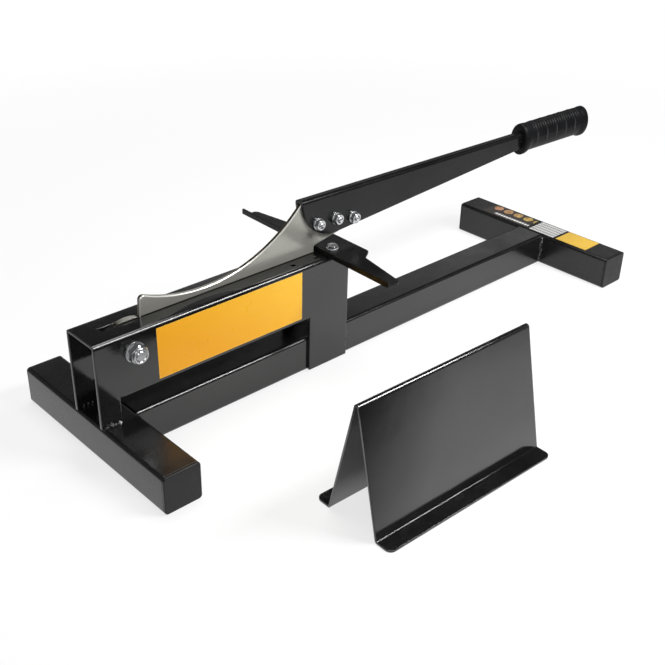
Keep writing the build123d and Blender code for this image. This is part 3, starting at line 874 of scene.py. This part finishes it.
@dataclass(frozen=True)
class BoltThread:
    """Thread on the end of an arm bolt, outside its nut, with its axis across the frame."""

    name: str
    centre: tuple[float, float]
    inner: float
    outer: float
    radius: float
    pitch: float
    rings: int = 40
    places: int = 64
    root: float = 1.004
    depth: float = 0.045
    chamfer: float = 0.0007
    tip_drop: float = 0.0006

    def build(self, material: Material) -> None:
        """Build the thread and set it on the arm.

        The surface goes round the bolt by angle and along it by travel. Its radius rises and falls
        as a triangle wave of travel over pitch less the angle in turns, so the crest climbs one
        pitch a turn, and it is drawn in at the tip by a chamfer.

        Args:
            material: Finish of the thread.
        """
        length = self.inner - self.outer
        travel = np.linspace(0.0, 1.0, self.rings)[:, None] * length
        angle = np.linspace(0.0, 2.0 * np.pi, self.places, endpoint=False)[None, :]
        phase = (travel / self.pitch - angle / (2.0 * np.pi)) % 1.0
        crest = 1.0 - np.abs(2.0 * phase - 1.0)
        tip = np.clip((travel - (length - self.chamfer)) / self.chamfer, 0.0, 1.0)
        rise = self.root + self.depth * crest * (1.0 - tip)
        radius = self.radius * rise - self.tip_drop * tip
        x = self.centre[0] + radius * np.cos(angle)
        z = self.centre[1] + radius * np.sin(angle)
        y = np.broadcast_to(self.inner - travel, x.shape)
        first = np.array([self.centre[0], self.inner, self.centre[1]])
        last = np.array([self.centre[0], self.outer, self.centre[1]])
        piece = closed_tube(self.name, np.stack([x, y, z], axis=-1), first, last)
        place_piece(piece, material, Body.ARM)


@dataclass
class Unit(ABC):
    """Part of the cutter that is dressed and fitted out together.

    Attributes:
        nodes: All CAD nodes by name.
        zinc: Plating shared by the fasteners.
    """

    nodes: Nodes
    zinc: Material

    def dress(self, material: Material, *names: str) -> None:
        """Give CAD nodes their finish and report them.

        Args:
            material: Finish for them.
            names: Nodes to dress.
        """
        for name in names:
            materials = self.nodes[name].data.materials
            materials.clear()
            materials.append(material)
            LOG.info("%s: dressed in %s", name, material.name)

    @abstractmethod
    def build(self) -> None:
        """Dress the unit's nodes and add its new pieces."""


@dataclass
class BaseFrame(Unit):
    """Welded tube frame with its caps, beads and stickers."""

    front_inside: float = -0.298
    rear_inside: float = 0.298
    stickers: StickerFilm = StickerFilm(near_end=-0.0345, middle_end=0.007, front=0.300)

    def build(self) -> None:
        """Dress the tubes, caps and stickers, and weld the beam to the feet."""
        paint = Coat.TUBE.value.make()
        self.dress(paint, "main_beam")
        self.dress(Coat.FOOT.value.make(), "front_foot", "rear_foot")
        plastic = CapPlastic().make()
        for end in ("front", "rear"):
            self.dress(plastic, f"{end}_foot_cap_near", f"{end}_foot_cap_far")
        self.dress(self.stickers.make(), "rear_foot_stickers")
        inside = ((self.front_inside, 1.0, "front"), (self.rear_inside, -1.0, "rear"))
        for side, label in SIDES:
            for x, turn, place in inside:
                name = f"weld_{place}_foot_{label}"
                ends = beam_corner(x, side)
                WeldBead(name, *ends, (turn, side, 0.0), *Weld.FOOT.value).build(paint)


@dataclass
class HousingUnit(Unit):
    """Folded housing with its pivot, label and the beads that hold its legs."""

    front: float = -0.336
    front_leg_end: float = -0.3153
    rear: float = -0.0425
    wall: float = 0.022
    foot_top: float = 0.038
    bead_gap: float = 0.001

    def build(self) -> None:
        """Dress the housing, label and pivot, and add the beads."""
        paint = Coat.HOUSING.value.make()
        self.dress(paint, "blade_housing")
        self.dress(self.zinc, "pivot_bolt", "pivot_nut", "pivot_washers", "pivot_spacers")
        low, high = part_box("housing_label")
        self.dress(LabelFilm(low.z, high.z, low.x, high.x).make(), "housing_label")
        for side, label in SIDES:
            name = f"weld_front_leg_{label}"
            start = (self.front + self.bead_gap, side * self.wall, self.foot_top)
            end = (self.front_leg_end, side * self.wall, self.foot_top)
            WeldBead(name, start, end, (0.0, side, 1.0), *Weld.FRONT_LEG.value).build(paint)
            name = f"weld_rear_leg_{label}"
            ends = beam_corner(self.rear, side)
            WeldBead(name, *ends, (1.0, side, 0.0), *Weld.REAR_LEG.value).build(paint)


@dataclass
class GripForm:
    """Moulded grip: an oval flanged sleeve with tall ribs round it and fine ribs along its top."""

    start: Point = (0.251, 0.0, 0.16817)
    fall: float = math.radians(0.87)
    length: float = 0.1245
    half_width: float = 0.0111
    half_height: float = 0.0171
    flange_half_width: float = 0.0127
    flange_half_height: float = 0.0186
    flange_drop: float = 0.001
    flange_length: float = 0.006
    slope: float = 0.009
    corner: float = 0.003
    end_half_width: float = 0.002
    bays: int = 6
    bay_start: float = 0.0041
    bay_length: float = 0.0186
    ribs_per_bay: int = 4
    tall_half_width: float = 0.0014
    tall_height: float = 0.0006
    tall_foot: float = -0.37
    fine_half_width: float = 0.0008
    fine_height: float = 0.0004
    fine_foot: float = 0.5
    foot_fade: float = 0.2
    # Where the painted highlight on the ribs fades out towards the top.
    highlight_top: float = 0.75
    highlight_fade: float = 0.5
    seam: float = 0.00018
    seam_width: float = 0.03
    flat_steps: int = 6
    corner_steps: int = 9
    flange_steps: int = 4
    slope_steps: int = 14
    body_steps: int = 180
    places: int = 120

    def profile(self) -> tuple[np.ndarray, np.ndarray, np.ndarray]:
        """Outline of the grip from one end's middle to the other's.

        The first half is a flat end, a quarter circle, a level flange, a cosine slope and the
        level body. The second half is its mirror image.

        Returns:
            Distance along the axis, share of the flange's size over the body's, and inset from
            that size.
        """
        middle = self.flange_half_width - self.end_half_width
        flat = np.linspace(middle, self.corner, self.flat_steps, endpoint=False)
        turn = np.linspace(0.0, np.pi / 2.0, self.corner_steps)
        level = np.linspace(self.corner, self.flange_length, self.flange_steps)[1:]
        drop = self.flange_length + self.slope * np.linspace(0.0, 1.0, self.slope_steps)[1:]
        inner = self.flange_length + self.slope
        run = np.linspace(inner, self.length / 2.0, self.body_steps)[1:]
        bend = self.corner * (1.0 - np.cos(turn))
        along = np.concatenate([np.zeros(len(flat)), bend, level, drop, run])
        inset = np.zeros(len(along))
        inset[: len(flat) + len(turn)] = np.append(flat, self.corner * (1.0 - np.sin(turn)))
        descent = np.clip((along - self.flange_length) / self.slope, 0.0, 1.0)
        share = (1.0 + np.cos(np.pi * descent)) / 2.0
        along = np.concatenate([along, self.length - along[-2::-1]])
        share = np.concatenate([share, share[-2::-1]])
        return along, share, np.concatenate([inset, inset[-2::-1]])

    def ribs(self, along: np.ndarray, height: np.ndarray) -> np.ndarray:
        """Rise of the ribs over the sleeve.

        Each rib is its height times a flat-topped bell curve of the distance from its place, faded
        in above its foot. Every fourth rib is tall and reaches down the sides, and the rest are
        fine.

        Args:
            along: Distance along the axis of each ring.
            height: Sine of the angle of each place round a ring.

        Returns:
            Rise for each ring and place.
        """
        number = np.arange(1, self.bays * self.ribs_per_bay)
        places = self.bay_start + number * self.bay_length / self.ribs_per_bay
        inner = self.flange_length + self.slope
        tall = number % self.ribs_per_bay == 0
        kept = (places > inner) & (places < self.length - inner)
        rise = np.zeros((len(along), len(height)))
        for chosen, width, size, foot in (
            (kept & tall, self.tall_half_width, self.tall_height, self.tall_foot),
            (kept & ~tall, self.fine_half_width, self.fine_height, self.fine_foot),
        ):
            bells = np.exp(-(((along[:, None] - places[chosen]) / width) ** 4)).sum(axis=1)
            fade = np.clip((height - foot) / self.foot_fade + 0.5, 0.0, 1.0)
            rise += size * bells[:, None] * fade[None, :]
        return rise

    def build(self, material: Material) -> None:
        """Build the grip in place of its CAD node.

        Each ring is an oval whose half width and half height go from the flange's to the body's by
        the outline's share, less its inset, and whose middle drops by the same share. The ribs'
        rise and a narrow bell curve of the sine of the angle, for the moulding seam, are added to
        both half sizes. The rise, faded out towards the top, is kept on the points as the share of
        the painted highlight on the ribs.

        Args:
            material: Finish of the grip.
        """
        along, share, inset = self.profile()
        angle = np.linspace(0.0, 2.0 * np.pi, self.places, endpoint=False)
        sine = np.sin(angle)
        outside = np.clip(1.0 - inset / self.corner, 0.0, 1.0)
        seam = self.seam * np.exp(-((sine / self.seam_width) ** 2))[None, :] * outside[:, None]
        rise = self.ribs(along, sine) + seam
        width = self.half_width + (self.flange_half_width - self.half_width) * share - inset
        height = self.half_height + (self.flange_half_height - self.half_height) * share - inset
        local_y = (width[:, None] + rise) * np.cos(angle)
        local_z = (height[:, None] + rise) * sine - self.flange_drop * share[:, None]
        local_x = np.broadcast_to(along[:, None], local_y.shape)
        rings = self.turned(np.stack([local_x, local_y, local_z], axis=-1))
        drop = -self.flange_drop
        ends = self.turned(np.array([[0.0, 0.0, drop], [self.length, 0.0, drop]]))
        piece = closed_tube("grip_sleeve", rings, ends[0], ends[1])
        # Painted highlight on the ribs: their rise, faded out towards the top, stored for the
        # finish.
        heights = piece.data.attributes.new(RIB_HIGHLIGHT, "FLOAT", "POINT")
        below_top = np.clip((self.highlight_top - sine) / self.highlight_fade, 0.0, 1.0)
        rib_highlights = rise * below_top / self.tall_height
        heights.data.foreach_set("value", np.append(rib_highlights, [0.0, 0.0]))
        place_piece(piece, material, Body.ARM)
        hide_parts("handle_grip")

    def turned(self, points: np.ndarray) -> np.ndarray:
        """Carry points from the grip's own axis to its place on the arm, tilted by the arm's fall.

        Args:
            points: Points with X along the grip.

        Returns:
            The same points in the cutter's frame.
        """
        cosine, sine = math.cos(self.fall), math.sin(self.fall)
        turn = np.array([[cosine, 0.0, sine], [0.0, 1.0, 0.0], [-sine, 0.0, cosine]])
        return points @ turn.T + np.array(self.start)


@dataclass
class LeverUnit(Unit):
    """Blade, arm, grip and the bolts that join them."""

    bolts: tuple[tuple[float, float], ...] = (
        (-0.07075, 0.153208),
        (-0.04605, 0.152433),
        (-0.0224, 0.147373),
    )
    bolt_inner: float = -0.0121
    bolt_outer: float = -0.0138
    bolt_radius: float = 0.003
    bolt_pitch: float = 0.0008

    def build(self) -> None:
        """Dress the blade, arm and fasteners, and add the grip and the bolts' threads."""
        self.dress(BrushedSteel().make(), "blade")
        self.dress(Coat.LEVER.value.make(), "handle_arm")
        self.dress(self.zinc, "handle_bolts", "handle_washers", "handle_nuts")
        rubber = GripRubber().make()
        self.dress(rubber, "handle_grip")
        GripForm().build(rubber)
        ends = (self.bolt_inner, self.bolt_outer)
        for number, centre in enumerate(self.bolts, start=1):
            name = f"handle_bolt_thread_{number}"
            BoltThread(name, centre, *ends, self.bolt_radius, self.bolt_pitch).build(self.zinc)


class FenceUnit(Unit):
    """Swivelling fence and the bolt that it turns on."""

    def build(self) -> None:
        """Dress the fence and its fasteners."""
        self.dress(Coat.FENCE.value.make(), "fence")
        self.dress(self.zinc, "fence_bolt", "fence_washer", "fence_nut")


class StandUnit(Unit):
    """Loose folded stand for the far end of a plank."""

    def build(self) -> None:
        """Dress the stand in its own coat of the paint."""
        self.dress(Coat.STAND.value.make(), "support_stand")


@dataclass(frozen=True)
class Softbox:
    """Rectangular studio lamp that faces the cutter."""

    name: str
    place: Point
    width: float
    height: float
    power: float
    aim: Point = (0.0, -0.05, 0.08)

    def build(self) -> None:
        """Hang the lamp."""
        data = bpy.data.lights.new(self.name, "AREA")
        data.shape = "RECTANGLE"
        data.size = self.width
        data.size_y = self.height
        data.energy = self.power
        lamp = bpy.data.objects.new(self.name, data)
        bpy.context.scene.collection.objects.link(lamp)
        lamp.location = self.place
        lamp.visible_camera = False
        facing = Vector(self.aim) - Vector(self.place)
        lamp.rotation_euler = facing.to_track_quat("-Z", "Y").to_euler()


@dataclass
class Floor:
    """Matt white floor that glows a little to the camera and in mirrors, and keeps the shadow.

    Each ramp is a range of places or distances, and the values at its two ends.
    """

    half: float = 9.0
    level: float = -0.0002
    slant: float = 0.9
    slant_edge: Ramp = (-0.555, -0.415, 0.04, 1.0)
    near_edge: Ramp = (-0.26, -0.20, 0.0, 1.0)
    far_edge: Ramp = (0.55, 1.05, 1.0, 0.12)
    front_edge: Ramp = (-0.47, -0.35, 0.2, 1.0)
    rear_fade: Ramp = (0.0, 0.4, 1.0, 0.78)
    camera_glow: Ramp = (0.35, 1.2, 0.72, 1.0)
    mirror_glow: Ramp = (0.20, 0.36, 0.35, 1.0)
    stand_x: float = -0.125
    stand_y: float = -0.235
    stand_side: Ramp = (0.018, 0.034, 0.3, 1.0)
    stand_end: Ramp = (0.09, 0.13, 0.3, 1.0)

    def build(self) -> None:
        """Lay the floor a hair below the feet."""
        corner = self.half * np.array([[-1, -1, 0], [1, -1, 0], [1, 1, 0], [-1, 1, 0]], dtype=float)
        corner[:, 2] = self.level
        mesh = bpy.data.meshes.new("floor")
        mesh.from_pydata(corner.tolist(), [], [[0, 1, 2, 3]])
        floor = bpy.data.objects.new("floor", mesh)
        bpy.context.scene.collection.objects.link(floor)
        mesh.materials.append(self.finish())

    def finish(self) -> Material:
        """Build the finish.

        In mirrors the glow's strength makes a pool of light round the cutter. The pool ends at a
        slanted line on the near side, far out and in front of the front foot, and fades a little
        to the rear. The glow's share in mirrors is low under the cutter and under the stand.

        Returns:
            The new material.
        """
        graph = Graph("white_floor")
        graph.material.cycles.emission_sampling = "NONE"
        graph.constant(Base_Color=(0.9, 0.9, 0.9, 1.0), Roughness=1.0, Specular_IOR_Level=0.0)
        away = graph.add("VectorMath")
        away.operation = "LENGTH"
        graph.link(graph.place, away.inputs[0])
        distance = away.outputs["Value"]
        ahead = graph.split(graph.place, "Y")
        along = graph.split(graph.place, "X")
        path = graph.add("LightPath").outputs
        mirrored = graph.larger(path["Is Glossy Ray"], path["Is Transmission Ray"])
        slant = graph.plus(ahead, graph.times(along, self.slant))
        near = graph.span(slant, *self.slant_edge)
        near = graph.larger(near, graph.span(ahead, *self.near_edge))
        pool = graph.smaller(graph.span(distance, *self.far_edge), near)
        pool = graph.smaller(pool, graph.span(along, *self.front_edge))
        pool = graph.times(pool, graph.span(along, *self.rear_fade))
        strength = graph.minus(1.0, graph.times(mirrored, graph.minus(1.0, pool)))
        glow = graph.add("Emission")
        graph.link(strength, glow.inputs["Strength"])
        beside = graph.calculate("ABSOLUTE", graph.minus(ahead, self.stand_y))
        endways = graph.calculate("ABSOLUTE", graph.minus(along, self.stand_x))
        clear = graph.larger(
            graph.span(beside, *self.stand_side), graph.span(endways, *self.stand_end)
        )
        clear = graph.times(graph.span(distance, *self.mirror_glow), clear)
        seen = graph.times(path["Is Camera Ray"], graph.span(distance, *self.camera_glow))
        share = graph.plus(seen, graph.times(mirrored, clear))
        mixed = graph.blend_shaders(share, graph.shader.outputs["BSDF"], glow.outputs[0])
        graph.link(mixed, graph.output.inputs["Surface"])
        return graph.material


@dataclass
class Studio:
    """Pale floor, even backdrop, soft lamps and the camera."""

    camera_place: Point = (-0.68456, -0.67532, 0.55204)
    azimuth: float = math.radians(43.608)
    elevation: float = math.radians(29.870)
    roll: float = math.radians(1.462)
    lens: float = 54.37
    sensor: float = 36.0
    backdrop: float = 0.95
    backdrop_foot: tuple[float, float] = (0.345, 0.395)
    backdrop_head: tuple[float, float] = (0.415, 0.485)
    backdrop_low: float = 0.10
    ceiling: float = 0.03
    lamps: tuple[Softbox, ...] = (
        Softbox("key_softbox", (0.39, -0.70, 0.92), 0.60, 0.20, 13.3, (0.39, 0.0, 0.12)),
        Softbox("fill_softbox", (-1.5, -1.1, 1.5), 1.4, 1.1, 13.0),
        Softbox("top_softbox", (0.1, 0.3, 2.1), 1.4, 1.0, 26.0),
    )

    def build(self) -> None:
        """Set up everything around the cutter."""
        bpy.context.scene.view_settings.view_transform = "Standard"
        for lamp in self.lamps:
            lamp.build()
        Floor().build()
        self.build_world()
        self.build_camera()

    def build_world(self) -> None:
        """Wrap the floor in a backdrop, with one bright band below a dim ceiling.

        The camera sees plain white instead of it.
        """
        world = bpy.data.worlds.new("studio_backdrop")
        bpy.context.scene.world = world
        world.use_nodes = True
        kit = NodeKit(world.node_tree)
        height = kit.split(kit.add("TexCoord").outputs["Generated"], "Z")
        foot = kit.span(height, *self.backdrop_foot, self.backdrop_low, self.backdrop, smooth=True)
        head = kit.span(height, *self.backdrop_head, self.backdrop, self.ceiling, smooth=True)
        light = kit.add("Background")
        kit.link(kit.smaller(foot, head), light.inputs["Strength"])
        white = kit.add("Background")
        kit.put(white.inputs["Color"], (1.0, 1.0, 1.0))
        seen = kit.add("LightPath").outputs["Is Camera Ray"]
        mixed = kit.blend_shaders(seen, light.outputs[0], white.outputs[0])
        kit.link(mixed, kit.add("OutputWorld").inputs["Surface"])

    def build_camera(self) -> None:
        """Set the camera at the photograph's viewing angle, turned by a small roll."""
        data = bpy.data.cameras.new("photo_camera")
        data.lens = self.lens
        data.sensor_width = self.sensor
        camera = bpy.data.objects.new("photo_camera", data)
        bpy.context.scene.collection.objects.link(camera)
        level = math.cos(self.elevation)
        ahead = math.sin(self.azimuth) * level
        aside = math.cos(self.azimuth) * level
        forward = Vector((ahead, aside, -math.sin(self.elevation)))
        flat_right = forward.cross(Vector((0.0, 0.0, 1.0))).normalized()
        flat_up = flat_right.cross(forward)
        right = flat_right * math.cos(self.roll) + flat_up * math.sin(self.roll)
        up = flat_up * math.cos(self.roll) - flat_right * math.sin(self.roll)
        turn = Matrix((right, up, -forward)).transposed().to_4x4()
        camera.matrix_world = Matrix.Translation(self.camera_place) @ turn
        bpy.context.scene.camera = camera


def main() -> None:
    """Build the studio and every unit of the cutter."""
    logging.basicConfig(level=logging.INFO, format="%(name)s: %(message)s")
    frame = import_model()
    zinc = ZincPlate().make()
    Studio().build()
    for unit in (BaseFrame, HousingUnit, LeverUnit, FenceUnit, StandUnit):
        unit(frame["nodes"], zinc).build()


if __name__ == "__main__":
    main()
